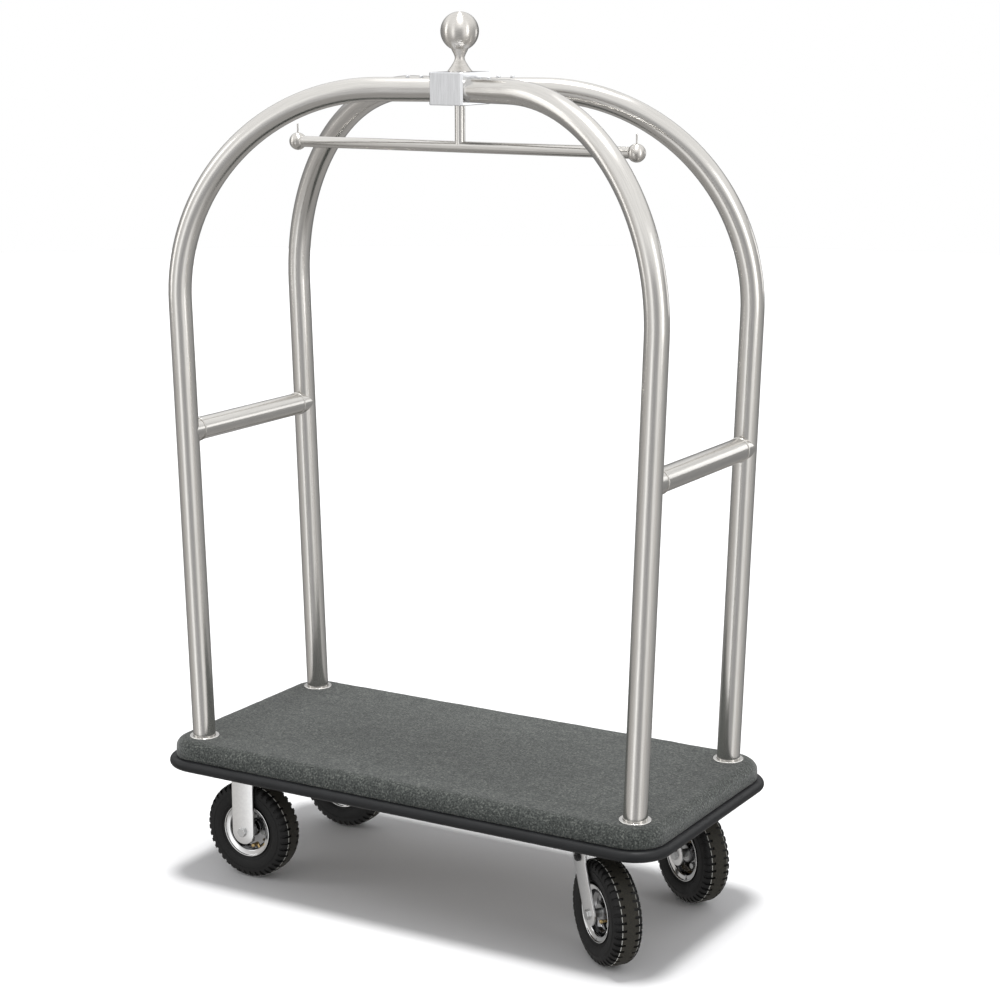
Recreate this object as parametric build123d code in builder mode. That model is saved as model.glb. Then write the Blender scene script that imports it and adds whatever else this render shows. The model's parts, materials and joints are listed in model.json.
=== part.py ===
from build123d import *
from math import cos, radians, sin, sqrt, tan
import os

os.makedirs("parts", exist_ok=True)

# Hotel luggage cart: carpeted deck on two fixed and two swivel casters, four bent
# tubes that lean out from the deck corners and meet in a hub block overhead, a
# garment rail under the hub and a push bar between the two tubes at each end.
# Millimetres. +X is the swivel end, -Y the front, +Z up, origin on the floor.

# ---------------------------------------------------------------- deck sizes
caster_height = 255.0          # floor to the underside of the deck frame
rail_height = 37.0             # steel tube round the edge of the deck
rail_width = 25.0
rail_wall = 2.0
board_length = 1216.0
board_width = 570.0
board_thickness = 24.0
corner_radius = 64.0           # of the board and of the frame under it
carpet_thickness = 6.0
carpet_edge_radius = 24.0      # rounded top edge of the carpeted deck
bumper_height = 25.0
bumper_bulge = 15.0            # how far the bumper stands out past the carpet

board_bottom = caster_height + rail_height
board_top = board_bottom + board_thickness
deck_top = board_top + carpet_thickness
bumper_top = caster_height + bumper_height

# ---------------------------------------------------------------- frame tubes
tube_radius = 25.4
tube_wall = 1.6
tube_bore = tube_radius - tube_wall
post_x = 547.8                 # tube centre where it meets the deck board
post_y = 224.8
post_lean = 1.9                # degrees outwards, lengthways
arch_height = 1768.6           # centre line of the level stretch into the hub
bend_radius = 448.0
socket_y = 27.6                # tube centre at the hub's end face
fit_gap = 0.05                 # between a tube and what is set into it
foot_run_out = 5.0             # tubes and plugs start this far down and are cut level
collar_radius = 34.0           # ring round the foot of each tube, let into the carpet
collar_gap = 0.6               # between the collar and the tube
collar_stand_out = 2.0         # how far the collar shows above the carpet

# ---------------------------------------------------------------- hub, finial, rail
hub_length = 82.0
hub_width = 120.0
hub_height = 68.0
hub_centre_z = 1771.4
hub_corner = 4.5
hub_edge = 1.5
spigot_length = 80.0
screw_spots = (32.0, 62.0)     # set screws, measured along the tube from the hub
finial_ball_radius = 40.5
finial_neck_radius = 10.5
finial_shoulder_radius = 18.0
finial_foot_radius = 26.0
finial_height = 124.0          # hub top to the top of the ball
stud_radius = 5.0
stem_radius = 11.0
rail_radius = 12.0
rail_centre_z = 1649.2
rail_ball_radius = 19.0
rail_ball_x = 418.0
pin_radius = 1.8
pin_height = 20.0

# ---------------------------------------------------------------- push bars
push_bar_z = 1021.0
lip_rise = 1.8                 # rolled lip where the bar meets the post
lip_width = 4.0
lip_stand_off = 7.0            # from the post's surface to the lip

# ---------------------------------------------------------------- casters
wheel_radius = 112.0
tyre_half_width = 33.5
rigid_x = 441.0                # middle of the fixed casters' plates
rigid_y = 190.0
swivel_x = 446.0               # middle of the swivel casters' plates
swivel_y = 197.0
swivel_trail = 50.0
front_swivel_turn = -36.0      # how the swivel casters stand when parked
back_swivel_turn = -31.0
fork_gap = 37.0                # wheel centre to the inside of a fork leg
leg_thickness = 5.0
rigid_leg_width = 57.0
swivel_leg_top = 56.0
swivel_leg_end = 48.0
plate_length = 110.0
plate_width = 104.0
plate_thickness = 5.0
bolt_pitch_x = 80.0
bolt_pitch_y = 76.0
race_radius = 34.0
race_height = 7.3
crown_thickness = 6.0
crown_gap = 0.3
kingpin_radius = 8.0
axle_radius = 6.0
running_gap = 0.05
rim_flange_radius = 62.0
rim_seat_radius = 50.8
rim_half_width = 25.0
rim_sheet = 2.5
bearing_radius = 17.5
bearing_end = 16.5             # wheel centre to the outer face of a bearing
rim_bolt_circle = 31.0

hex_small = 13.0               # across flats and head height of the 8 mm bolts
head_small = 5.3
hex_large = 19.0               # across flats and head height of the 12 mm bolts
head_large = 7.5

corners = [("front_left", -1, -1), ("front_right", 1, -1), ("back_right", 1, 1), ("back_left", -1, 1)]


def rounded_block(length, width, radius, low, high):
    """Upright block with rounded corners, from height low to height high."""
    with BuildPart() as block:
        with BuildSketch(Plane.XY.offset(low)):
            RectangleRounded(length, width, radius)
        extrude(amount=high - low)
    return block.part


def hex_bolt(radius, length, across_flats, head_height):
    """Bolt pointing up +Z with the underside of its head at the origin."""
    with BuildPart() as bolt:
        with BuildSketch(Plane.XY.offset(-head_height)):
            RegularPolygon(across_flats / sqrt(3), 6)
        extrude(amount=head_height)
        chamfer(bolt.faces().sort_by(Axis.Z)[0].edges(), head_height * 0.12)
        with BuildSketch(Plane.XY):
            Circle(radius)
        extrude(amount=length)
    return bolt.part


def hex_nut(bore, across_flats, height):
    """Nut standing on the XY plane, its hole upright."""
    with BuildPart() as nut:
        with BuildSketch(Plane.XY):
            RegularPolygon(across_flats / sqrt(3), 6)
            Circle(bore, mode=Mode.SUBTRACT)
        extrude(amount=height)
        outer = nut.faces().sort_by(Axis.Z)[-1].outer_wire().edges()
        chamfer(outer, height * 0.1)
    return nut.part


def ring(outer, bore, height):
    """Flat ring standing on the XY plane."""
    with BuildPart() as washer:
        with BuildSketch(Plane.XY):
            Circle(outer)
            Circle(bore, mode=Mode.SUBTRACT)
        extrude(amount=height)
    return washer.part


def group(pieces):
    """Several separate solids that share one node."""
    return Compound([solid for piece in pieces for solid in piece.solids()])


# ================================================================ deck
# Plywood board with a rounded nose all round, on a welded frame of square tube.
post_spots = [(sx * post_x, sy * post_y) for _, sx, sy in corners]
post_bolt_radius = 6.0
board_nose = carpet_edge_radius - carpet_thickness

with BuildPart() as board_blank:
    add(rounded_block(board_length, board_width, corner_radius, board_bottom, board_top))
    fillet(board_blank.faces().sort_by(Axis.Z)[-1].edges(), board_nose)
with BuildPart() as deck_board:
    add(board_blank.part)
    with Locations(*[(x, y, board_top) for x, y in post_spots]):
        Hole(post_bolt_radius + 0.5, board_thickness)
deck_board.part.label = "deck_board"
export_step(deck_board.part, "parts/deck_board.step")

side_run = board_length - 2 * corner_radius
end_run = board_width - 2 * corner_radius
rail_mid_z = caster_height + rail_height / 2
inside_width = board_width - 2 * rail_width
bolt_radius = 4.0
bolt_holes = GridLocations(bolt_pitch_x, bolt_pitch_y, 2, 2)


def tube_section(plane):
    """Section of the deck's square tube."""
    with BuildSketch(plane) as section:
        Rectangle(rail_width, rail_height)
        Rectangle(rail_width - 2 * rail_wall, rail_height - 2 * rail_wall, mode=Mode.SUBTRACT)
    return section.sketch


with BuildPart() as side_rail:
    extrude(tube_section(Plane.YZ), amount=side_run / 2, both=True)
with BuildPart() as end_rail:
    extrude(tube_section(Plane.XZ), amount=end_run / 2, both=True)
with BuildPart() as corner_rail:
    revolve(tube_section(Plane.XZ.shift_origin((corner_radius - rail_width / 2, 0, 0))), axis=Axis.Z)
    split(bisect_by=Plane.YZ, keep=Keep.TOP)
    split(bisect_by=Plane.XZ, keep=Keep.BOTTOM)
with BuildPart() as plain_cross_tube:
    extrude(tube_section(Plane.XZ), amount=inside_width / 2, both=True)


def bolted_cross_tube(plate_y):
    """Cross tube drilled for the bolts of two caster plates, centred on +-plate_y."""
    with BuildPart() as cross_tube:
        add(plain_cross_tube.part)
        rows = [sy * plate_y + dy * bolt_pitch_y / 2 for sy in (-1, 1) for dy in (-1, 1)]
        with Locations(*[(0, y, rail_height / 2) for y in rows]):
            Hole(bolt_radius + 0.2, rail_height)
    return cross_tube.part


frame_pieces = [plain_cross_tube.part.moved(Location((0, 0, rail_mid_z)))]
for side in (-1, 1):
    rail_y = side * (board_width - rail_width) / 2
    rail_x = side * (board_length - rail_width) / 2
    frame_pieces.append(side_rail.part.moved(Location((0, rail_y, rail_mid_z))))
    frame_pieces.append(end_rail.part.moved(Location((rail_x, 0, rail_mid_z))))
    plate_x, plate_y = (-rigid_x, rigid_y) if side < 0 else (swivel_x, swivel_y)
    for step in (-0.5, 0.5):
        cross_at = Location((plate_x + step * bolt_pitch_x, 0, rail_mid_z))
        frame_pieces.append(bolted_cross_tube(plate_y).moved(cross_at))
for turn, sx, sy in ((0, 1, 1), (90, -1, 1), (180, -1, -1), (270, 1, -1)):
    spot = Location((sx * side_run / 2, sy * end_run / 2, rail_mid_z), (0, 0, turn))
    frame_pieces.append(corner_rail.part.moved(spot))
deck_frame = group(frame_pieces)
deck_frame.label = "deck_frame"
export_step(deck_frame, "parts/deck_frame.step")

# Carpet wrapped over the board and down to the bumper, cut round the four collars.
with BuildPart() as deck_carpet:
    add(rounded_block(board_length + 2 * carpet_thickness, board_width + 2 * carpet_thickness,
                      corner_radius + carpet_thickness, bumper_top, deck_top))
    fillet(deck_carpet.faces().sort_by(Axis.Z)[-1].edges(), carpet_edge_radius)
    add(board_blank.part, mode=Mode.SUBTRACT)
    with BuildSketch(Plane.XY.offset(bumper_top)):
        RectangleRounded(board_length, board_width, corner_radius)
    extrude(amount=board_bottom - bumper_top, mode=Mode.SUBTRACT)
    with Locations(*[(x, y, deck_top) for x, y in post_spots]):
        Hole(collar_radius + 0.3, carpet_thickness)
deck_carpet.part.label = "deck_carpet"
export_step(deck_carpet.part, "parts/deck_carpet.step")

# Rubber bumper: flat back on the frame, round nose, following the deck's outline.
bumper_reach = carpet_thickness + bumper_bulge
with BuildPart() as deck_bumper:
    add(rounded_block(board_length + 2 * bumper_reach, board_width + 2 * bumper_reach,
                      corner_radius + bumper_reach, caster_height, bumper_top))
    ends = deck_bumper.faces().filter_by(Plane.XY)
    fillet(ends.edges(), bumper_height / 2 - 0.1)
    with BuildSketch(Plane.XY.offset(caster_height)):
        RectangleRounded(board_length, board_width, corner_radius)
    extrude(amount=bumper_height, mode=Mode.SUBTRACT)
deck_bumper.part.label = "deck_bumper"
export_step(deck_bumper.part, "parts/deck_bumper.step")

# ================================================================ bent tubes
# Each tube stands on the board, leans out, and turns once into the hub.
lean = radians(post_lean)
hub_half = hub_length / 2


def tube_line(sx, sy):
    """Foot, first tangent point, second tangent point and hub end of one tube."""
    foot = Vector(sx * post_x, sy * post_y, board_top)
    up = Vector(sx * sin(lean), 0, cos(lean))
    knee = foot + up * ((arch_height - foot.Z) / up.Z)
    hub_end = Vector(sx * hub_half, sy * socket_y, arch_height)
    inward = (hub_end - knee).normalized()
    half_turn = radians(up.get_angle(inward)) / 2
    reach = bend_radius * tan(half_turn)
    return foot, up, knee - up * reach, knee + inward * reach, hub_end, inward


arch_tubes = {}
for corner, sx, sy in corners:
    foot, up, bend_start, bend_end, hub_end, inward = tube_line(sx, sy)
    below = foot - up * foot_run_out
    with BuildPart() as arch_tube:
        with BuildLine() as centre_line:
            Line(below, bend_start)
            TangentArc(bend_start, bend_end, tangent=up)
            Line(bend_end, hub_end + inward * tube_radius)
        with BuildSketch(Plane(origin=below, z_dir=up)):
            Circle(tube_radius)
            Circle(tube_bore, mode=Mode.SUBTRACT)
        sweep()
        split(bisect_by=Plane.XY.offset(board_top), keep=Keep.TOP)
        split(bisect_by=Plane.YZ.offset(sx * hub_half), keep=Keep.TOP if sx > 0 else Keep.BOTTOM)
    arch_tube.part.label = f"arch_tube_{corner}"
    export_step(arch_tube.part, f"parts/arch_tube_{corner}.step")
    arch_tubes[corner] = arch_tube.part

# A plug welded in the foot of each tube takes a bolt from under the board.
plug_length = 60.0
plug_radius = tube_bore - fit_gap
post_plug_pieces = []
post_bolt_pieces = []
post_collar_pieces = []
washer_radius = 17.0
washer_height = 3.0
collar_height = carpet_thickness + collar_stand_out
post_bolt_length = washer_height + board_thickness + plug_length * 0.7
for corner, sx, sy in corners:
    foot, up = tube_line(sx, sy)[:2]
    with BuildPart() as post_plug:
        with BuildSketch(Plane(origin=foot - up * foot_run_out, z_dir=up)):
            Circle(plug_radius)
        extrude(amount=plug_length)
        split(bisect_by=Plane.XY.offset(board_top), keep=Keep.TOP)
        with Locations((foot.X, foot.Y, board_top + plug_length)):
            Hole(post_bolt_radius + fit_gap, plug_length * 2)
    post_plug_pieces.append(post_plug.part)
    post_bolt_pieces.append(
        hex_bolt(post_bolt_radius, post_bolt_length, hex_large, head_large)
        .moved(Location((foot.X, foot.Y, board_bottom - washer_height))))
    post_bolt_pieces.append(
        ring(washer_radius, post_bolt_radius + fit_gap, washer_height)
        .moved(Location((foot.X, foot.Y, board_bottom - washer_height))))
    with BuildPart() as post_collar:
        with BuildSketch(Plane.XY.offset(board_top)):
            with Locations((foot.X, foot.Y)):
                Circle(collar_radius)
                Circle(tube_radius + collar_gap, mode=Mode.SUBTRACT)
        extrude(amount=collar_height)
        fillet(post_collar.faces().sort_by(Axis.Z)[-1].outer_wire().edges(), collar_stand_out * 0.8)
    post_collar_pieces.append(post_collar.part)

post_plugs = group(post_plug_pieces)
post_plugs.label = "post_plugs"
export_step(post_plugs, "parts/post_plugs.step")
post_bolts = group(post_bolt_pieces)
post_bolts.label = "post_bolts"
export_step(post_bolts, "parts/post_bolts.step")
post_collars = group(post_collar_pieces)
post_collars.label = "post_collars"
export_step(post_collars, "parts/post_collars.step")

# ================================================================ hub and finial
# Block with four round spigots that the tubes slide over, set screws on top.
hub_top = hub_centre_z + hub_height / 2
hub_bottom = hub_centre_z - hub_height / 2
thread_depth = 22.0
with BuildPart() as hub_block:
    with BuildSketch(Plane.XY.offset(hub_bottom)):
        Rectangle(hub_length, hub_width)
        chamfer(vertices(), hub_corner)
    extrude(amount=hub_height)
    ends = hub_block.faces().sort_by(Axis.Z)
    chamfer(ends[0].edges() + ends[-1].edges(), hub_edge)
    for corner, sx, sy in corners:
        hub_end, inward = tube_line(sx, sy)[4:]
        with BuildSketch(Plane(origin=hub_end + inward * hub_half * 0.5, z_dir=inward * -1)):
            Circle(plug_radius)
        extrude(amount=spigot_length + hub_half * 0.5)
    with Locations((0, 0, hub_top)):
        Hole(stud_radius + fit_gap, thread_depth)
    with Locations(Location((0, 0, hub_bottom), (180, 0, 0))):
        Hole(stud_radius + fit_gap, thread_depth)
hub_block.part.label = "hub_block"
export_step(hub_block.part, "parts/hub_block.step")

screw_head_radius = 4.5
screw_head_height = 3.4
with BuildPart() as set_screw:
    Cylinder(screw_head_radius, screw_head_height, align=(Align.CENTER, Align.CENTER, Align.MIN))
    fillet(set_screw.faces().sort_by(Axis.Z)[-1].edges(), screw_head_height * 0.35)
with BuildPart() as hub_set_screws:
    for corner, sx, sy in corners:
        hub_end, inward = tube_line(sx, sy)[4:]
        with Locations(*[hub_end - inward * spot + Vector(0, 0, tube_radius) for spot in screw_spots]):
            add(set_screw.part)
hub_set_screws.part.label = "hub_set_screws"
export_step(hub_set_screws.part, "parts/hub_set_screws.step")

# Turned finial: flared foot, waisted neck, shoulder and ball.
ball_z = hub_top + finial_height - finial_ball_radius
shoulder_z = ball_z - sqrt(finial_ball_radius ** 2 - finial_shoulder_radius ** 2)
neck_z = hub_top + (shoulder_z - hub_top) * 0.57
foot_kink_z = hub_top + (shoulder_z - hub_top) * 0.24
foot_kink_radius = 18.5
with BuildPart() as finial:
    with BuildSketch(Plane.XZ):
        with BuildLine():
            Polyline((0, hub_top), (finial_foot_radius, hub_top), (finial_foot_radius, hub_top + 1.5))
            Line((finial_foot_radius, hub_top + 1.5), (foot_kink_radius, foot_kink_z))
            Spline((foot_kink_radius, foot_kink_z), (finial_neck_radius, neck_z),
                   (finial_shoulder_radius, shoulder_z),
                   tangents=((-0.55, 1), (0.45, 1)))
            ThreePointArc((finial_shoulder_radius, shoulder_z), (finial_ball_radius, ball_z),
                          (0, ball_z + finial_ball_radius))
            Line((0, ball_z + finial_ball_radius), (0, hub_top))
        make_face()
    revolve(axis=Axis.Z)
    with Locations(Location((0, 0, hub_top), (180, 0, 0))):
        Hole(stud_radius + fit_gap, thread_depth)
finial.part.label = "finial"
export_step(finial.part, "parts/finial.step")

with BuildPart() as finial_stud:
    with BuildSketch(Plane.XY.offset(hub_top - thread_depth + 1)):
        Circle(stud_radius)
    extrude(amount=2 * thread_depth - 2)
finial_stud.part.label = "finial_stud"
export_step(finial_stud.part, "parts/finial_stud.step")

# ================================================================ garment rail
# Stem screwed into the hub, rail under it, a ball on each end with a small pin.
saddle = rail_radius + fit_gap
with BuildPart() as hanger_stem:
    with BuildSketch(Plane.XY.offset(hub_bottom)):
        Circle(stem_radius)
    extrude(amount=-(hub_bottom - rail_centre_z))
    with BuildSketch(Plane.XY.offset(hub_bottom)):
        Circle(stud_radius)
    extrude(amount=thread_depth - 1)
    with BuildSketch(Plane.YZ.offset(-stem_radius - 1)):
        with Locations((0, rail_centre_z)):
            Circle(saddle)
    extrude(amount=2 * stem_radius + 2, mode=Mode.SUBTRACT)
hanger_stem.part.label = "hanger_stem"
export_step(hanger_stem.part, "parts/hanger_stem.step")

rail_grip = rail_ball_radius * 0.6         # how far the rail enters each ball
with BuildPart() as hanger_rail:
    with BuildSketch(Plane.YZ.offset(-rail_ball_x + rail_ball_radius - rail_grip)):
        with Locations((0, rail_centre_z)):
            Circle(rail_radius)
            Circle(rail_radius - 1.5, mode=Mode.SUBTRACT)
    extrude(amount=2 * (rail_ball_x - rail_ball_radius + rail_grip))
hanger_rail.part.label = "hanger_rail"
export_step(hanger_rail.part, "parts/hanger_rail.step")

pin_depth = 8.0
pin_pieces = []
for side, sx in (("left", -1), ("right", 1)):
    centre = Vector(sx * rail_ball_x, 0, rail_centre_z)
    mouth = centre - Vector(sx * rail_ball_radius, 0, 0)
    with BuildPart() as hanger_ball:
        with Locations(centre):
            Sphere(rail_ball_radius)
        with BuildSketch(Plane(origin=mouth, z_dir=(sx, 0, 0))):
            Circle(rail_radius + fit_gap)
        extrude(amount=rail_grip, mode=Mode.SUBTRACT)
        with Locations(centre + Vector(0, 0, rail_ball_radius)):
            Hole(pin_radius + fit_gap, pin_depth)
    hanger_ball.part.label = f"hanger_ball_{side}"
    export_step(hanger_ball.part, f"parts/hanger_ball_{side}.step")
    with BuildPart() as hanger_pin:
        with BuildSketch(Plane.XY.offset(centre.Z + rail_ball_radius - pin_depth + 0.5)):
            with Locations((centre.X, centre.Y)):
                Circle(pin_radius)
        extrude(amount=pin_depth - 0.5 + pin_height)
        fillet(hanger_pin.faces().sort_by(Axis.Z)[-1].edges(), pin_radius * 0.6)
    pin_pieces.append(hanger_pin.part)
hanger_pins = group(pin_pieces)
hanger_pins.label = "hanger_pins"
export_step(hanger_pins, "parts/hanger_pins.step")

# ================================================================ push bars
# Level tube between the front and back posts, its ends coped round them, each end
# with a rolled lip.
push_bar_x = post_x + (push_bar_z - board_top) * tan(lean)
cope_reach = 60.0              # half the length cut out for a post, along the post
lip_y = post_y - tube_radius - lip_stand_off - lip_width
lip_radius = tube_radius + lip_rise
for side, sx in (("left", -1), ("right", 1)):
    with BuildPart() as push_bar:
        with BuildSketch(Plane.XZ):
            with Locations((sx * push_bar_x, push_bar_z)):
                Circle(tube_radius)
        extrude(amount=post_y, both=True)
        for sy in (-1, 1):
            with BuildSketch(Plane.XZ.offset(sy * (lip_y + lip_width / 2))):
                with Locations((sx * push_bar_x, push_bar_z)):
                    Circle(lip_radius)
            extrude(amount=lip_width / 2, both=True)
            lip_edges = push_bar.edges().filter_by(GeomType.CIRCLE)
            lip_edges = [edge for edge in lip_edges if abs(edge.radius - lip_radius) < 0.01]
            lip_edges = [edge for edge in lip_edges if edge.center().Y * sy < 0]
            fillet(lip_edges, lip_rise * 0.95)
        with BuildSketch(Plane.XZ):
            with Locations((sx * push_bar_x, push_bar_z)):
                Circle(tube_bore)
        extrude(amount=post_y, both=True, mode=Mode.SUBTRACT)
        for sy in (-1, 1):
            up = Vector(sx * sin(lean), 0, cos(lean))
            on_post = Vector(sx * push_bar_x, sy * post_y, push_bar_z)
            with BuildSketch(Plane(origin=on_post - up * cope_reach, z_dir=up)):
                Circle(tube_radius + fit_gap)
            extrude(amount=2 * cope_reach, mode=Mode.SUBTRACT)
    push_bar.part.label = f"push_bar_{side}"
    export_step(push_bar.part, f"parts/push_bar_{side}.step")

# ================================================================ casters
# Every caster piece is made in the caster's own frame: origin on the floor under
# the middle of its plate, +X the way the wheel trails, wheel axle along Y.
plate_bottom = caster_height - plate_thickness
crown_top = plate_bottom - race_height
crown_bolt_z = crown_top - 21.5
crown_bottom = crown_top - crown_thickness
leg_outside = fork_gap + leg_thickness
plate_corner = 10.0
plate_hole = bolt_radius + 0.3


def caster_plate(height):
    """Bolted plate under the deck frame, with its four holes."""
    with BuildPart() as plate:
        with BuildSketch(Plane.XY.offset(caster_height)):
            RectangleRounded(plate_length, plate_width, plate_corner)
            with GridLocations(bolt_pitch_x, bolt_pitch_y, 2, 2):
                Circle(plate_hole, mode=Mode.SUBTRACT)
        extrude(amount=-height)
    return plate.part


with BuildPart() as rigid_fork:
    add(caster_plate(plate_thickness))
    for side in (-1, 1):
        with BuildSketch(Plane.XZ.offset(side * (fork_gap + leg_thickness / 2))):
            with Locations((0, (plate_bottom + wheel_radius) / 2)):
                Rectangle(rigid_leg_width, plate_bottom - wheel_radius)
            with Locations((0, wheel_radius)):
                Circle(rigid_leg_width / 2)
                Circle(axle_radius + 0.2, mode=Mode.SUBTRACT)
        extrude(amount=leg_thickness / 2, both=True)

with BuildPart() as swivel_plate:
    add(caster_plate(plate_thickness))
    with BuildSketch(Plane.XY.offset(plate_bottom)):
        Circle(race_radius)
    extrude(amount=-(race_height - crown_gap))
    fillet(swivel_plate.faces().sort_by(Axis.Z)[0].edges(), 3)
    with Locations((0, 0, caster_height)):
        Hole(kingpin_radius + fit_gap)

with BuildPart() as swivel_fork:
    with BuildSketch(Plane.XY.offset(crown_bottom)):
        RectangleRounded(swivel_leg_top + 8, 2 * leg_outside, 4)
    extrude(amount=crown_thickness)
    for side in (-1, 1):
        with BuildSketch(Plane.XZ.offset(side * (fork_gap + leg_thickness / 2))):
            with Locations((0, crown_top - 16)):
                Rectangle(swivel_leg_top, 32)
            with Locations((swivel_trail, wheel_radius)):
                Circle(swivel_leg_end / 2)
            make_hull()
            with Locations((swivel_trail, wheel_radius)):
                Circle(axle_radius + 0.2, mode=Mode.SUBTRACT)
            with Locations((0, crown_bolt_z)):
                Circle(bolt_radius + 0.2, mode=Mode.SUBTRACT)
        extrude(amount=leg_thickness / 2, both=True)
    with Locations((0, 0, crown_top)):
        Hole(kingpin_radius + running_gap, crown_thickness)

# Kingpin: countersunk head let into the plate, nut under the fork's crown.
kingpin_nut_height = 6.5
kingpin_nut_flats = 24.0
with BuildPart() as kingpin:
    with BuildSketch(Plane.XY.offset(caster_height)):
        Circle(kingpin_radius)
    extrude(amount=-(caster_height - crown_bottom + crown_gap))
    with BuildSketch(Plane.XY.offset(crown_bottom - crown_gap)):
        RegularPolygon(kingpin_nut_flats / sqrt(3), 6)
    extrude(amount=-kingpin_nut_height)

# Axle bolt across the fork, with a nut and a spacer each side of the bearings.
axle_nut_height = 9.0
spacer_radius = 9.5
axle_end_play = 0.3            # between each spacer and its bearing
thread_past_nut = 3.0
axle_length = 2 * leg_outside + axle_nut_height + thread_past_nut
axle_bolt = hex_bolt(axle_radius, axle_length, hex_large, head_large)
axle_nut = hex_nut(axle_radius + fit_gap, hex_large, axle_nut_height)
spacer = ring(spacer_radius, axle_radius + fit_gap, fork_gap - bearing_end - axle_end_play)


def axle_set(trail):
    """Axle bolt, nut and two spacers, in the caster's frame."""
    to_axle = Location((trail, 0, wheel_radius))
    along = Location((0, 0, 0), (-90, 0, 0))        # turns +Z to +Y
    return [
        axle_bolt.moved(to_axle * Location((0, -leg_outside, 0)) * along),
        axle_nut.moved(to_axle * Location((0, leg_outside, 0)) * along),
        spacer.moved(to_axle * Location((0, -fork_gap, 0)) * along),
        spacer.moved(to_axle * Location((0, bearing_end + axle_end_play, 0)) * along),
    ]


# Round-headed bolt through the top of each fork leg, with a dark nut outside.
crown_nut_height = 7.0
crown_nut_flats = 17.0
crown_head_radius = 7.0
crown_head_height = 2.5
with BuildPart() as crown_bolt:
    with BuildSketch(Plane.XY.offset(-crown_head_height)):
        Circle(crown_head_radius)
    extrude(amount=crown_head_height)
    with BuildSketch(Plane.XY):
        Circle(bolt_radius)
    extrude(amount=leg_thickness + crown_nut_height + thread_past_nut / 2)
crown_nut = hex_nut(bolt_radius + fit_gap, crown_nut_flats, crown_nut_height)
crown_bolt_set = []
for side in (-1, 1):
    outward = Location((0, 0, 0), (-90 * side, 0, 0))   # turns +Z away from the wheel
    crown_bolt_set.append(crown_bolt.part.moved(Location((0, side * fork_gap, crown_bolt_z)) * outward))
    crown_bolt_set.append(crown_nut.moved(Location((0, side * leg_outside, crown_bolt_z)) * outward))

# ---------------------------------------------------------------- wheel
# Made round the Y axis at the origin: sheet-steel rim in two halves bolted
# together, pneumatic tyre, bearings with a spacer, and a bent valve stem.
seat_end = 9.0
web_radius = 43.0
half_sheet = rim_sheet / 2

with BuildPart() as rim_half:
    with BuildSketch(Plane.XY):
        with BuildLine():
            Polyline((rim_flange_radius - half_sheet, rim_half_width + 2.5),
                     (rim_flange_radius - half_sheet - 1.5, rim_half_width),
                     (rim_seat_radius - half_sheet, rim_half_width - 2.5),
                     (rim_seat_radius - half_sheet, seat_end),
                     (web_radius, half_sheet),
                     (bearing_radius + 4, half_sheet))
        trace(line_width=rim_sheet)
        with Locations((bearing_radius + rim_sheet, bearing_end / 2)):
            Rectangle(2 * rim_sheet, bearing_end)
        with Locations((0, -rim_sheet)):
            Rectangle(4 * rim_flange_radius, 2 * rim_sheet, mode=Mode.SUBTRACT)
        with Locations((bearing_radius / 2, bearing_end / 2)):
            Rectangle(bearing_radius, 2 * bearing_end, mode=Mode.SUBTRACT)
    revolve(axis=Axis.Y)
    with Locations(Location((0, 0, 0), (90, 0, 0))):
        with PolarLocations(rim_bolt_circle, 4, start_angle=45):
            Hole(bolt_radius + 0.2)

# Pneumatic tyre: bead, sidewall and crown, hollow inside.
bead_outside = [(rim_seat_radius, 20.5), (59.0, 23.0), (rim_flange_radius + 0.5, 24.4)]
bead_inside = [(60.0, 15.0), (rim_seat_radius, 12.0)]
shoulder_low = (wheel_radius - 7, 30.5)
shoulder_high = (wheel_radius - 1.8, 25)
with BuildPart() as tyre:
    with BuildSketch(Plane.XY):
        with BuildLine():
            Polyline(*bead_outside)
            ThreePointArc(bead_outside[-1], (wheel_radius - 28, tyre_half_width), shoulder_low)
            Line(shoulder_low, shoulder_high)
            ThreePointArc(shoulder_high, (wheel_radius - 0.5, 13), (wheel_radius, 0))
            Line((wheel_radius, 0), (wheel_radius - 6, 0))
            ThreePointArc((wheel_radius - 6, 0), (wheel_radius - 8, 15), (wheel_radius - 14, 23.5))
            ThreePointArc((wheel_radius - 14, 23.5), (wheel_radius - 28, 27.5), bead_inside[0])
            Polyline(*bead_inside, bead_outside[0])
        make_face()
        mirror(about=Plane.XZ)
    revolve(axis=Axis.Y)

# Flanged bearings pressed into the rim's cups, with a spacer tube between them.
bearing_width = 12.0
bearing_race_radius = 10.0
bearing_seal_radius = 14.0
bearing_seal_depth = 0.8
bearing_inside = axle_radius + running_gap
with BuildPart() as bearing:
    with BuildSketch(Plane.XY):
        with Locations(((bearing_inside + bearing_radius) / 2, bearing_end - bearing_width / 2)):
            Rectangle(bearing_radius - bearing_inside, bearing_width)
        with Locations(((bearing_seal_radius + bearing_race_radius) / 2, bearing_end)):
            Rectangle(bearing_seal_radius - bearing_race_radius, 2 * bearing_seal_depth, mode=Mode.SUBTRACT)
    revolve(axis=Axis.Y)
with BuildPart() as bearing_spacer:
    with BuildSketch(Plane.XY):
        with Locations(((bearing_inside + bearing_race_radius) / 2, 0)):
            Rectangle(bearing_race_radius - bearing_inside, 2 * (bearing_end - bearing_width))
    revolve(axis=Axis.Y)

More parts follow.
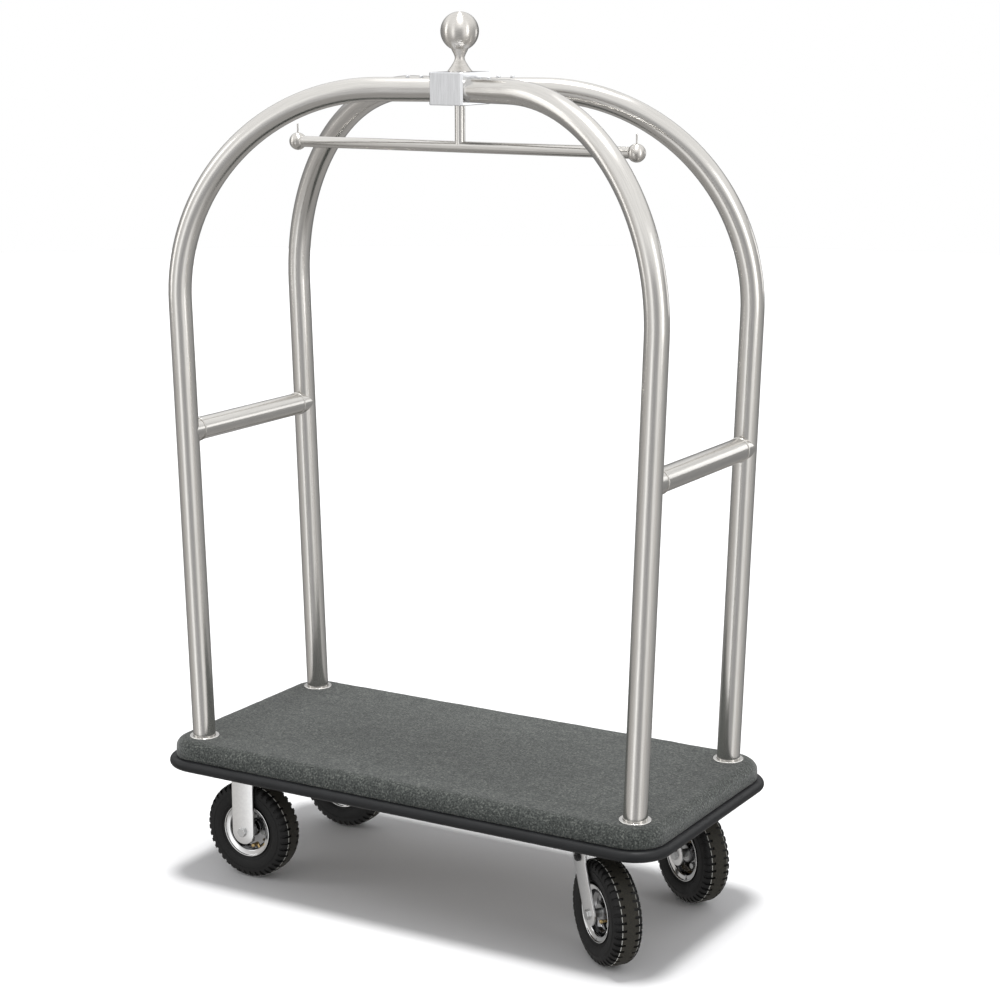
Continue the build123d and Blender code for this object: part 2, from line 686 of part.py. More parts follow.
nut_small = 6.5
rim_bolt = hex_bolt(bolt_radius, 2 * rim_sheet + nut_small + 2.5, hex_small, head_small)
rim_nut = hex_nut(bolt_radius + fit_gap, hex_small, nut_small)
rim_bolt_pieces = []
for turn in (45, 135, 225, 315):
    around = Location((0, 0, 0), (0, turn, 0))
    for piece, face in ((rim_bolt, -rim_sheet), (rim_nut, rim_sheet)):
        seat = Location((rim_bolt_circle, face, 0), (-90, 0, 0))
        rim_bolt_pieces.append(piece.moved(around * seat))

# Brass stem through the rim's seat, bent to point out of the wheel's face.
stem_bend_radius = 37.0
stem_y = -15.5
valve_radius = 3.5
valve_cap_length = 8.0
valve_clearance = 2.0          # the cap passes this far inside the fork's leg
stem_end_y = valve_clearance + valve_cap_length - fork_gap
with BuildPart() as valve_stem:
    with BuildSketch(Plane.YZ.offset(stem_bend_radius)):
        with Locations((stem_y, 0)):
            Circle(valve_radius)
    extrude(amount=rim_seat_radius - 0.4 - stem_bend_radius)
    with Locations((stem_bend_radius, stem_y, 0)):
        Sphere(valve_radius)
    with BuildSketch(Plane.XZ.offset(-stem_y)):
        with Locations((stem_bend_radius, 0)):
            Circle(valve_radius)
    extrude(amount=stem_y - stem_end_y)
    with BuildSketch(Plane.XZ.offset(-stem_end_y - valve_cap_length)):
        with Locations((stem_bend_radius, 0)):
            Circle(valve_radius + 1)
    extrude(amount=valve_cap_length)
    fillet(valve_stem.faces().sort_by(Axis.Y)[0].edges(), 1)

with BuildPart() as rim_valve_side:
    add(mirror(rim_half.part, about=Plane.XZ, mode=Mode.PRIVATE))
    with BuildSketch(Plane.YZ.offset(stem_bend_radius)):
        with Locations((stem_y, 0)):
            Circle(valve_radius + 0.3)
    extrude(amount=rim_seat_radius + rim_sheet - stem_bend_radius, mode=Mode.SUBTRACT)

wheel_pieces = {
    "tyre": [tyre.part],
    "rim_plain_side": [rim_half.part],
    "rim_valve_side": [rim_valve_side.part],
    "rim_bolts": rim_bolt_pieces,
    "wheel_bearings": [bearing.part, mirror(bearing.part, about=Plane.XZ), bearing_spacer.part],
    "valve_stem": [valve_stem.part],
}

# ---------------------------------------------------------------- casters in place
caster_turns = {"front_left": 0, "back_left": 0,
                "front_right": front_swivel_turn, "back_right": back_swivel_turn}
valve_turns = {"front_left": 56, "back_left": 140, "front_right": 6, "back_right": 205}
plate_bolt = hex_bolt(bolt_radius, plate_thickness + 20, hex_small, head_small)
plate_bolt_pieces = []
rigid_axle_pieces = []
kingpin_pieces = []
for corner, sx, sy in corners:
    middle = (swivel_x, sy * swivel_y, 0) if sx > 0 else (-rigid_x, sy * rigid_y, 0)
    caster_at = Location(middle, (0, 0, caster_turns[corner]))
    plate_at = Location(middle)
    end = corner.split("_")[0]
    trail = swivel_trail if sx > 0 else 0
    for bolt_at in GridLocations(bolt_pitch_x, bolt_pitch_y, 2, 2):
        plate_bolt_pieces.append(plate_bolt.moved(plate_at * Location((0, 0, plate_bottom)) * bolt_at))
    if sx > 0:
        kingpin_pieces.append(kingpin.part.moved(plate_at))
        own_nodes = {
            f"swivel_plate_{end}": [swivel_plate.part.moved(plate_at)],
            f"swivel_fork_{end}": [swivel_fork.part.moved(caster_at)],
            f"crown_bolts_{end}": [piece.moved(caster_at) for piece in crown_bolt_set],
            f"swivel_axle_{end}": [piece.moved(caster_at) for piece in axle_set(trail)],
        }
    else:
        rigid_axle_pieces += [piece.moved(caster_at) for piece in axle_set(trail)]
        own_nodes = {f"rigid_fork_{end}": [rigid_fork.part.moved(caster_at)]}
    wheel_at = caster_at * Location((trail, 0, wheel_radius), (0, valve_turns[corner], 0))
    for kind, pieces in wheel_pieces.items():
        own_nodes[f"{kind}_{corner}"] = [piece.moved(wheel_at) for piece in pieces]
    for label, pieces in own_nodes.items():
        node = group(pieces)
        node.label = label
        export_step(node, f"parts/{label}.step")

for label, pieces in (("caster_plate_bolts", plate_bolt_pieces), ("rigid_axles", rigid_axle_pieces),
                      ("swivel_kingpins", kingpin_pieces)):
    node = group(pieces)
    node.label = label
    export_step(node, f"parts/{label}.step")
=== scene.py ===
import json
from math import atan2, cos, pi, radians, sin, sqrt, tan
import bmesh
import bpy
from mathutils import Matrix, Vector, noise


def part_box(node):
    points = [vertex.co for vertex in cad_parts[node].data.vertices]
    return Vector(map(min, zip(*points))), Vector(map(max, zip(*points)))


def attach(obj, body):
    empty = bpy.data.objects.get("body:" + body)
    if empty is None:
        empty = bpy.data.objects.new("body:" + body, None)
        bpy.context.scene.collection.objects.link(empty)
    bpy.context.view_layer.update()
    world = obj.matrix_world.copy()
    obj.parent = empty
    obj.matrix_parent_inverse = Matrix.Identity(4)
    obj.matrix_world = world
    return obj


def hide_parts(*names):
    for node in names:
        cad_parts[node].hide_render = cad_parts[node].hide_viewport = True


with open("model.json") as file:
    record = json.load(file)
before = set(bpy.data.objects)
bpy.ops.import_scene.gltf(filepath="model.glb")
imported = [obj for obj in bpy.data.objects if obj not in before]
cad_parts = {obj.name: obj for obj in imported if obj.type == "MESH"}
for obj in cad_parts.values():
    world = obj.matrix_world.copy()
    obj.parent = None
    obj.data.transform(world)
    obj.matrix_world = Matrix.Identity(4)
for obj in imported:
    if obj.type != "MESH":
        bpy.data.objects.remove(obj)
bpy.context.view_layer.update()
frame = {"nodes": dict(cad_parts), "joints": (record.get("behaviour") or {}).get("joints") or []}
scene = bpy.context.scene

# ---------------------------------------------------------------- studio
# The cart stands on a plain pale floor under one wide, even light, with soft boxes to
# the sides. The room's walls are lighter and darker in bands, which only metal shows.
scene.view_settings.view_transform = "Standard"

camera = bpy.data.objects.new("camera", bpy.data.cameras.new("camera"))
camera.data.lens = 82.39
camera.data.sensor_width = 36
camera.data.clip_end = 100
camera.location = (2.5400, -4.1728, 1.9393)
camera.rotation_euler = (radians(77.83), 0, radians(30.34))
scene.collection.objects.link(camera)
scene.camera = camera


def node(tree, kind, *sources, **values):
    """A shader node. Sources fill its inputs in order; lower-case values are its settings, others its inputs."""
    made = tree.nodes.new("ShaderNode" + kind)
    for name, value in values.items():
        if name[0].islower():
            setattr(made, name, value)
    for index, source in enumerate(sources):
        if source is None:
            continue
        if isinstance(source, bpy.types.NodeSocket):
            tree.links.new(source, made.inputs[index])
        else:
            made.inputs[index].default_value = source
    for name, value in values.items():
        if name[0].islower():
            continue
        if isinstance(value, bpy.types.NodeSocket):
            tree.links.new(value, made.inputs[name.replace("_", " ")])
        else:
            made.inputs[name.replace("_", " ")].default_value = value
    return made


def ramp(tree, source, *stops):
    """Turns a number into a colour or a grey by stops of (place, value)."""
    made = node(tree, "ValToRGB", source)
    elements = made.color_ramp.elements
    while len(elements) < len(stops):
        elements.new(1)
    for element, (place, value) in zip(elements, stops):
        element.position = place
        element.color = (*value, 1) if isinstance(value, tuple) else (value, value, value, 1)
    return made.outputs[0]


room = bpy.data.worlds.new("room")
scene.world = room
room.use_nodes = True
tree = room.node_tree
direction = node(tree, "TexCoord").outputs["Generated"]
turned = node(tree, "Mapping", direction, vector_type="POINT", Rotation=(0, 0, radians(-30)))
across = node(tree, "SeparateXYZ", turned.outputs[0])
away = node(tree, "Math", across.outputs["Y"], -1.0, operation="MULTIPLY").outputs[0]
bearing = node(tree, "Math", across.outputs["X"], away, operation="ARCTAN2").outputs[0]
bands = ramp(tree, node(tree, "MapRange", bearing, -pi, pi, 0.0, 1.0).outputs[0],
             (0.0, 0.10), (0.144, 0.20), (0.253, (0.34, 0.33, 0.32)), (0.333, (0.46, 0.455, 0.45)), (0.364, 0.62),
             (0.380, 1.0), (0.402, 1.0), (0.418, 0.52), (0.444, (0.35, 0.35, 0.355)), (0.486, (0.29, 0.29, 0.295)),
             (0.537, (0.30, 0.30, 0.30)), (0.563, 0.55), (0.588, (0.80, 0.79, 0.78)), (0.617, 0.62),
             (0.667, (0.46, 0.45, 0.44)), (0.722, 0.37), (0.790, 0.26), (0.86, 0.20), (0.93, 0.12), (1.0, 0.10))
level = node(tree, "MapRange", across.outputs["Z"], -1.0, 1.0, 0.0, 1.0).outputs[0]
roof = node(tree, "Mix", ramp(tree, level, (0.58, 0.0), (0.74, 1.0)), data_type="RGBA", A=bands,
            B=(0.70, 0.70, 0.70, 1))
walls = node(tree, "Mix", ramp(tree, level, (0.20, 1.0), (0.32, 0.0)), data_type="RGBA", A=roof.outputs[2],
             B=(0.27, 0.265, 0.26, 1))
lit = node(tree, "VectorMath", walls.outputs[2], operation="SCALE", Scale=1.75).outputs[0]
rays = node(tree, "LightPath")
fill = node(tree, "Mix", rays.outputs["Is Glossy Ray"], data_type="RGBA", A=(0.58, 0.58, 0.585, 1), B=lit)
seen = node(tree, "Mix", rays.outputs["Is Camera Ray"], data_type="RGBA", A=fill.outputs[2], B=(1, 1, 1, 1))
tree.nodes["Background"].inputs["Strength"].default_value = 1.0
tree.links.new(seen.outputs[2], tree.nodes["Background"].inputs["Color"])

ceiling = bpy.data.lights.new("ceiling", "SUN")      # a wide panel so high that it lights the floor evenly
ceiling.energy = 2.7
ceiling.angle = radians(15)
ceiling_holder = bpy.data.objects.new("ceiling", ceiling)
ceiling_holder.location = (0, 0, 5)
ceiling_holder.rotation_euler = (radians(-2), 0, 0)
scene.collection.objects.link(ceiling_holder)


def soft_box(name, place, aim, width, height, watts):
    """A rectangular studio light at place, facing aim."""
    light = bpy.data.lights.new(name, "AREA")
    light.shape, light.size, light.size_y, light.energy = "RECTANGLE", width, height, watts
    holder = bpy.data.objects.new(name, light)
    holder.location = place
    holder.rotation_euler = (Vector(place) - Vector(aim)).to_track_quat("Z", "Y").to_euler()
    scene.collection.objects.link(holder)


soft_box("left_box", (-3.4, -2.0, 2.2), (0, 0, 0.9), 1.0, 2.8, 16)
soft_box("right_box", (3.6, -0.6, 2.0), (0, 0, 0.9), 0.8, 2.6, 16)
soft_box("hub_box", (1.7, 2.8, 1.6), (0, 0, 1.77), 1.2, 0.9, 5)


def shader(name, colour, metallic, roughness, **sockets):
    """A material, with every value that is the same all over it set on its shader."""
    material = bpy.data.materials.new(name)
    material.use_nodes = True
    principled = material.node_tree.nodes["Principled BSDF"]
    principled.inputs["Base Color"].default_value = (*colour, 1)
    principled.inputs["Metallic"].default_value = metallic
    principled.inputs["Roughness"].default_value = roughness
    for socket, value in sockets.items():
        principled.inputs[socket.replace("_", " ")].default_value = value
    return material, material.node_tree, principled


def coloured(tree, principled, factor, dark, light):
    """The base colour runs from dark to light with factor."""
    blend = node(tree, "Mix", factor, data_type="RGBA", A=(*dark, 1), B=(*light, 1))
    tree.links.new(blend.outputs[2], principled.inputs["Base Color"])


def roughened(tree, principled, factor, low, high):
    """The roughness runs from low to high with factor."""
    span = node(tree, "MapRange", factor, 0.0, 1.0, low, high)
    tree.links.new(span.outputs[0], principled.inputs["Roughness"])


def bumped(tree, principled, source, depth, strength=1.0):
    """Raises the surface by depth metres where source is 1."""
    bump = node(tree, "Bump", Strength=strength, Distance=depth, Height=source)
    tree.links.new(bump.outputs[0], principled.inputs["Normal"])


def stretched(tree, source, scale):
    """Coordinates scaled by a different amount along each axis."""
    return node(tree, "Mapping", source, Scale=scale).outputs[0]


def grain(tree, source, size, detail=2.0):
    """Noise from 0 to 1 whose features are about size metres across."""
    return node(tree, "TexNoise", Vector=source, Scale=1 / size, Detail=detail).outputs["Fac"]


floor_paint, tree, principled = shader("floor_paint", (0.86, 0.86, 0.87), 0, 0.85)
place = node(tree, "TexCoord").outputs["Object"]
paint = node(tree, "Mix", grain(tree, place, 0.6), data_type="RGBA", A=(0.86, 0.86, 0.87, 1), B=(0.88, 0.88, 0.88, 1))
tree.links.new(paint.outputs[2], principled.inputs["Base Color"])
bm = bmesh.new()
bmesh.ops.create_circle(bm, cap_ends=True, segments=96, radius=14)
floor_mesh = bpy.data.meshes.new("floor")
bm.to_mesh(floor_mesh)
bm.free()
floor_mesh.materials.append(floor_paint)
floor = bpy.data.objects.new("floor", floor_mesh)
floor.visible_glossy = False                 # the cart's metal shows the room's walls, not a blank floor
scene.collection.objects.link(floor)


# ---------------------------------------------------------------- deck frame and board
# Black painted rectangular steel tube, mitred and welded, under a plywood board. Both
# are seen only from below, with the bolts that hold the casters.
def dress(material, *names):
    """Gives CAD nodes a finish in every material slot."""
    for name in names:
        mesh = frame["nodes"][name].data
        if not mesh.materials:
            mesh.materials.append(material)
        for index in range(len(mesh.materials)):
            mesh.materials[index] = material


frame_paint, tree, principled = shader("frame_paint", (0.012, 0.012, 0.013), 0, 0.42)
place = node(tree, "TexCoord").outputs["Object"]
orange_peel = grain(tree, place, 0.004, 3)
dust = grain(tree, place, 0.09, 5)
coloured(tree, principled, dust, (0.008, 0.008, 0.009), (0.030, 0.029, 0.028))
roughened(tree, principled, dust, 0.32, 0.6)
bumped(tree, principled, orange_peel, 0.0004, 0.5)
dress(frame_paint, "deck_frame")

board_wood, tree, principled = shader("board_wood", (0.12, 0.10, 0.08), 0, 0.6)
place = node(tree, "TexCoord").outputs["Object"]
figure = node(tree, "TexWave", Vector=stretched(tree, place, (0.35, 6.0, 1.0)), Scale=2.2, Distortion=7.0,
              Detail=4.0, Detail_Scale=1.2, wave_type="BANDS", bands_direction="Y").outputs["Fac"]
pores = grain(tree, stretched(tree, place, (0.03, 1.0, 1.0)), 0.0014, 4)
streaks = node(tree, "Math", figure, node(tree, "Math", pores, 0.55, operation="MULTIPLY").outputs[0],
               operation="ADD").outputs[0]
coloured(tree, principled, streaks, (0.060, 0.050, 0.040), (0.16, 0.135, 0.105))
roughened(tree, principled, pores, 0.5, 0.75)
bumped(tree, principled, pores, 0.0003)
dress(board_wood, "deck_board")


# ---------------------------------------------------------------- carpet
# Short cut-pile carpet glued over the board and turned down its edge, so the edge
# is soft and round and the pile stands a little uneven.
def link_piece(name, bm, material, body, slot, *nodes, smooth=38):
    """Makes the finished mesh a piece of the cart: its finish, its body and the CAD nodes it stands for."""
    mesh = bpy.data.meshes.new(name)
    bm.to_mesh(mesh)
    bm.free()
    mesh.shade_smooth()
    mesh.set_sharp_from_angle(angle=radians(smooth))
    mesh.materials.append(material)
    made = bpy.data.objects.new(name, mesh)
    scene.collection.objects.link(made)
    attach(made, body)
    if nodes:
        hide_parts(*nodes)
    return made


carpet_low, carpet_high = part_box("deck_carpet")
edge_round = 0.024
corner_round = 0.070
pile_cell = 0.012

carpet_pile, tree, principled = shader("carpet_pile", (0.10, 0.10, 0.10), 0, 1.0, Specular_IOR_Level=0.2,
                                       Sheen_Weight=0.25, Sheen_Roughness=0.5)
place = node(tree, "TexCoord").outputs["Object"]
tufts = node(tree, "TexVoronoi", Vector=place, Scale=520.0, Randomness=1.0, feature="F1").outputs["Distance"]
fleck = grain(tree, place, 0.0042, 3)
cloud = grain(tree, stretched(tree, place, (1.0, 1.6, 1.0)), 0.03, 5)
mottle = node(tree, "Math", node(tree, "Math", fleck, 0.84, operation="MULTIPLY").outputs[0],
              node(tree, "Math", cloud, 0.16, operation="MULTIPLY").outputs[0], operation="ADD").outputs[0]
pile_colour = ramp(tree, mottle, (0.34, (0.030, 0.034, 0.032)), (0.48, (0.066, 0.073, 0.068)),
                   (0.57, (0.105, 0.114, 0.106)), (0.68, (0.20, 0.21, 0.19)))
# Each tuft is lighter at its middle and darker towards its edge, where the pile dips: painted shade between the
# tufts.
shade = node(tree, "MapRange", tufts, 0.0, 0.7, 1.12, 0.62).outputs[0]
pile_with_painted_shade = node(tree, "Mix", 1.0, data_type="RGBA", blend_type="MULTIPLY", A=pile_colour, B=shade)
tree.links.new(pile_with_painted_shade.outputs[2], principled.inputs["Base Color"])
pile_height = node(tree, "Math", fleck, tufts, operation="SUBTRACT").outputs[0]
bumped(tree, principled, pile_height, 0.0009, 0.7)

bm = bmesh.new()
half_x = (carpet_high.x - carpet_low.x) / 2
half_y = (carpet_high.y - carpet_low.y) / 2
flat_x, flat_y, flat_corner = half_x - edge_round, half_y - edge_round, corner_round - edge_round
bmesh.ops.create_grid(bm, x_segments=round(2 * flat_x / pile_cell), y_segments=round(2 * flat_y / pile_cell),
                      size=1, matrix=Matrix.Translation((0, 0, carpet_high.z)))
bmesh.ops.scale(bm, vec=(flat_x, flat_y, 1), verts=bm.verts)
core_x, core_y = flat_x - flat_corner, flat_y - flat_corner
for vert in bm.verts:                       # rounds the sheet's four corners
    u = (abs(vert.co.x) - core_x) / flat_corner
    v = (abs(vert.co.y) - core_y) / flat_corner
    if u > 0 and v > 0:
        vert.co.x = (core_x + flat_corner * u * sqrt(1 - v * v / 2)) * (1 if vert.co.x > 0 else -1)
        vert.co.y = (core_y + flat_corner * v * sqrt(1 - u * u / 2)) * (1 if vert.co.y > 0 else -1)


def outward(point):
    """Level direction straight out of the deck's rounded outline at point."""
    inner = Vector((max(-core_x, min(core_x, point.x)), max(-core_y, min(core_y, point.y))))
    return (point.xy - inner).normalized().to_3d()


rim = [edge for edge in bm.edges if edge.is_boundary]
steps = [(edge_round * sin(a), -edge_round * (1 - cos(a))) for a in [pi / 2 * i / 7 for i in range(8)]]
steps += [(edge_round, z - carpet_high.z) for z in (0.293, 0.288, 0.284, carpet_low.z + 0.001)]
for (out, down), (last_out, last_down) in zip(steps[1:], steps):
    rim = [piece for piece in bmesh.ops.extrude_edge_only(bm, edges=rim)["geom"]
           if isinstance(piece, bmesh.types.BMEdge)]
    for vert in {vert for edge in rim for vert in edge.verts}:
        vert.co += outward(vert.co) * (out - last_out) + Vector((0, 0, down - last_down))
bm.normal_update()
for vert in bm.verts:                       # the glued pile is never quite even
    lift = noise.noise(vert.co * 55) * 0.0005 + noise.noise(vert.co * 14) * 0.0006
    vert.co += vert.normal * (lift - 0.0004)
carpet = link_piece("carpet", bm, carpet_pile, "frame", "carpet", "deck_carpet", smooth=60)
backing = carpet.modifiers.new("backing", "SOLIDIFY")
backing.thickness = 0.0045
backing.offset = -1

# ---------------------------------------------------------------- bumper
# Black extruded rubber round the whole deck, its nose half round.
bumper_rubber, tree, principled = shader("bumper_rubber", (0.010, 0.010, 0.011), 0, 0.42,
                                         Specular_IOR_Level=0.25)
place = node(tree, "TexCoord").outputs["Object"]
bloom = grain(tree, place, 0.05, 5)
scuffs = ramp(tree, grain(tree, stretched(tree, place, (0.25, 0.25, 1.6)), 0.006, 4), (0.56, 0.0), (0.72, 1.0))
coloured(tree, principled, bloom, (0.005, 0.0055, 0.006), (0.015, 0.0155, 0.017))
scuffed = node(tree, "Math", bloom, scuffs, operation="ADD").outputs[0]
roughened(tree, principled, scuffed, 0.34, 0.60)
bumped(tree, principled, grain(tree, place, 0.0012, 3), 0.00015, 0.6)

bumper_low, bumper_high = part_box("deck_bumper")
bumper_reach = bumper_high.x - half_x            # how far the nose stands past the carpet
nose_z = (bumper_low.z + bumper_high.z) / 2
nose_half = (bumper_high.z - bumper_low.z) / 2
nose_flat = bumper_reach - nose_half * 1.12
section = [(-0.006, nose_half), (0.0012, nose_half), (0.0022, nose_half - 0.0012), (0.0036, nose_half - 0.0012),
           (0.0046, nose_half)]
section += [(nose_flat + nose_half * 1.12 * cos(a), nose_half * sin(a))
            for a in [pi / 2 - pi * i / 14 for i in range(15)]]
section += [(-0.006, -nose_half)]
bm = bmesh.new()
outline = []
for sx, sy in ((1, -1), (1, 1), (-1, 1), (-1, -1)):
    start = atan2(sy, sx) - pi / 4
    for i in range(17):
        a = start + pi / 2 * i / 16
        outline.append(Vector((sx * core_x, sy * core_y, nose_z)) + Vector((cos(a), sin(a), 0)) * corner_round)
first = [bm.verts.new(point + Vector((0, 0, section[0][1])) + outward(point) * section[0][0]) for point in outline]
ring = [bm.edges.new((first[i], first[(i + 1) % len(first)])) for i in range(len(first))]
start_ring = list(ring)
for (out, up), (last_out, last_up) in zip(section[1:], section):
    ring = [piece for piece in bmesh.ops.extrude_edge_only(bm, edges=ring)["geom"]
            if isinstance(piece, bmesh.types.BMEdge)]
    for vert in {vert for edge in ring for vert in edge.verts}:
        vert.co += outward(vert.co) * (out - last_out) + Vector((0, 0, up - last_up))
bmesh.ops.bridge_loops(bm, edges=ring + start_ring)
bmesh.ops.recalc_face_normals(bm, faces=bm.faces)
link_piece("bumper", bm, bumper_rubber, "frame", "bumper_rubber", "deck_bumper")


# ---------------------------------------------------------------- frame tubes
# Four 50 mm satin stainless tubes, belt polished along their length: each one is a
# straight post, one large bend and a short level run into the hub.
def satin_steel(name, along, tint=(0.60, 0.585, 0.56)):
    """Satin stainless steel polished along one axis, or along a tube that carries its own grain."""
    material, tree, principled = shader(name, tint, 1, 0.3, Anisotropic=0.35)
    if along == "tube":
        place = node(tree, "Attribute", attribute_name="tube_place").outputs["Vector"]
        along = "z"
    else:
        place = node(tree, "TexCoord").outputs["Object"]
    drawn = {"x": (0.02, 1, 1), "y": (1, 0.02, 1), "z": (1, 1, 0.02)}[along]
    lines = grain(tree, stretched(tree, place, drawn), 0.0009, 3)
    broad = grain(tree, stretched(tree, place, drawn), 0.006, 3)
    handling = grain(tree, place, 0.12, 4)
    mixed = node(tree, "Math", node(tree, "Math", lines, 0.75, operation="MULTIPLY").outputs[0],
                 node(tree, "Math", broad, 0.25, operation="MULTIPLY").outputs[0], operation="ADD").outputs[0]
    coloured(tree, principled, ramp(tree, mixed, (0.32, 0.0), (0.68, 1.0)),
             tuple(0.90 * c for c in tint), tuple(1.07 * c for c in tint))
    worn = node(tree, "Math", lines, handling, operation="MULTIPLY").outputs[0]
    roughened(tree, principled, worn, 0.19, 0.34)
    bumped(tree, principled, lines, 0.00003, 0.4)
    return material


tube_steel = satin_steel("tube_steel", "tube")
tube_radius = 0.0254
tube_lean = radians(1.9)
bend_radius = 0.448
hub_entry_y = 0.0276
tube_sides = 56
bend_steps = 36
collar_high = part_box("post_collars")[1]
collar_radius = 0.034
for corner, sx, sy in (("front_left", -1, -1), ("front_right", 1, -1), ("back_right", 1, 1), ("back_left", -1, 1)):
    low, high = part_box(f"arch_tube_{corner}")
    hub_face = min(abs(low.x), abs(high.x))
    foot = Vector((sx * (collar_high.x - collar_radius), sy * (collar_high.y - collar_radius), low.z))
    up = Vector((sx * sin(tube_lean), 0, cos(tube_lean)))
    level = high.z - tube_radius
    knee = foot + up * ((level - foot.z) / up.z)
    entry = Vector((sx * hub_face, sy * hub_entry_y, level))
    inward = (entry - knee).normalized()
    turn = up.angle(inward)
    bend_start = knee - up * bend_radius * tan(turn / 2)
    bend_end = knee + inward * bend_radius * tan(turn / 2)
    bend_axis = up.cross(inward).normalized()
    bend_centre = bend_start + bend_axis.cross(up) * bend_radius

    bm = bmesh.new()
    tube_place = bm.verts.layers.float_vector.new("tube_place")
    stand = Matrix.Translation(foot + up * 0.001) @ up.to_track_quat("Z", "Y").to_matrix().to_4x4()
    bmesh.ops.create_circle(bm, cap_ends=True, segments=tube_sides, radius=tube_radius, matrix=stand)
    edges = [edge for edge in bm.edges]
    for stretch in (bend_start - foot - up * 0.001, None, entry - bend_end + inward * 0.012):
        if stretch is None:
            bmesh.ops.spin(bm, geom=edges, cent=bend_centre, axis=bend_axis, dvec=(0, 0, 0), angle=turn,
                           steps=bend_steps, use_merge=False, use_duplicate=False)
            bm.edges.ensure_lookup_table()
            edges = [edge for edge in bm.edges if edge.is_boundary]
            continue
        edges = [piece for piece in bmesh.ops.extrude_edge_only(bm, edges=edges)["geom"]
                 if isinstance(piece, bmesh.types.BMEdge)]
        bmesh.ops.translate(bm, vec=stretch, verts=list({vert for edge in edges for vert in edge.verts}))
    bmesh.ops.holes_fill(bm, edges=edges, sides=0)
    straight = (bend_start - foot).length
    for vert in bm.verts:                    # where each point lies on the tube before it was bent
        past_start, past_end = (vert.co - bend_start).dot(up), (vert.co - bend_end).dot(inward)
        if past_start <= 1e-5:
            middle, run = foot + up * (vert.co - foot).dot(up), (vert.co - foot).dot(up)
        elif past_end >= -1e-5:
            middle, run = bend_end + inward * past_end, straight + bend_radius * turn + past_end
        else:
            spoke = (vert.co - bend_centre)
            spoke -= bend_axis * spoke.dot(bend_axis)
            middle = bend_centre + spoke.normalized() * bend_radius
            run = straight + bend_radius * spoke.angle(bend_start - bend_centre)
        side = vert.co - middle
        angle = atan2(side.dot(bend_axis), (side - bend_axis * side.dot(bend_axis)).length
                      * (1 if (middle - bend_centre).dot(side) > 0 else -1))
        vert[tube_place] = (cos(angle) * tube_radius, sin(angle) * tube_radius, run)
    bmesh.ops.recalc_face_normals(bm, faces=bm.faces)
    link_piece(f"tube_{corner}", bm, tube_steel, "frame", "satin_tube", f"arch_tube_{corner}")

# ---------------------------------------------------------------- feet of the posts
# Stainless collars stand on the board round the posts and rise just past the carpet.
# Plugs and bolts hold the posts from under the board.
collar_steel = satin_steel("collar_steel", "x", (0.66, 0.65, 0.63))
dress(collar_steel, "post_collars")
zinc_bright, tree, principled = shader("zinc_bright", (0.55, 0.56, 0.57), 1, 0.32)
place = node(tree, "TexCoord").outputs["Object"]
clouds = grain(tree, place, 0.006, 5)
coloured(tree, principled, clouds, (0.46, 0.47, 0.48), (0.66, 0.66, 0.65))
roughened(tree, principled, clouds, 0.22, 0.45)
bumped(tree, principled, grain(tree, place, 0.0007, 2), 0.00004)
dress(zinc_bright, "post_bolts", "caster_plate_bolts", "swivel_kingpins", "finial_stud", "rigid_axles",
      "swivel_axle_front", "swivel_axle_back", "post_plugs")

# ---------------------------------------------------------------- hub and finial
# A machined block, brushed up and down, takes the four tubes. The finial is turned in
# one piece, so its fine lines run round it.
block_steel = satin_steel("block_steel", "z", (0.74, 0.75, 0.77))
dress(block_steel, "hub_block", "hub_set_screws")
turned_steel, tree, principled = shader("turned_steel", (0.62, 0.60, 0.57), 1, 0.36, Anisotropic=0.9,
                                        Anisotropic_Rotation=0.25)
around = node(tree, "Tangent", direction_type="RADIAL", axis="Z")
tree.links.new(around.outputs[0], principled.inputs["Tangent"])
place = node(tree, "TexCoord").outputs["Object"]
rings = grain(tree, stretched(tree, place, (0.03, 0.03, 1)), 0.0006, 3)
coloured(tree, principled, rings, (0.52, 0.50, 0.47), (0.68, 0.66, 0.63))
roughened(tree, principled, rings, 0.22, 0.34)
bumped(tree, principled, rings, 0.00005, 0.5)
dress(turned_steel, "finial")

# ---------------------------------------------------------------- garment rail
# Satin tube on a round stem, with a turned ball and a short pin at each end so that
# hangers can't slide off.
rail_steel = satin_steel("rail_steel", "x")
dress(rail_steel, "hanger_rail")
stem_steel = satin_steel("stem_steel", "z")
dress(stem_steel, "hanger_stem", "hanger_pins")
dress(turned_steel, "hanger_ball_left", "hanger_ball_right")

# ---------------------------------------------------------------- push bars
# Satin tube coped round the posts and welded, with a rolled lip at both ends.
bar_steel = satin_steel("bar_steel", "y")
dress(bar_steel, "push_bar_left", "push_bar_right")

# ---------------------------------------------------------------- fixed casters
# Each fork is one zinc plated strap, bent twice over the wheel, its ends rounded
# round the axle, under a plate bolted to the deck frame.
def softened(bm, offset=0.0006, segments=2, angle=30):
    """Rounds every edge sharper than angle, as stamping and plating leave it."""
    edges = [edge for edge in bm.edges if len(edge.link_faces) == 2 and edge.calc_face_angle() > radians(angle)]
    bmesh.ops.bevel(bm, geom=edges, offset=offset, segments=segments, profile=0.5, affect="EDGES", material=-1,
                    clamp_overlap=True)


def drawn_out(bm, edges, move):
    """Extrudes edges by a move and gives back the new ones."""
    edges = [piece for piece in bmesh.ops.extrude_edge_only(bm, edges=edges)["geom"]
             if isinstance(piece, bmesh.types.BMEdge)]
    bmesh.ops.translate(bm, vec=move, verts=list({vert for edge in edges for vert in edge.verts}))
    return [edge for edge in edges if edge.is_boundary and abs(edge.verts[0].co.x - edge.verts[1].co.x) > 0.01]


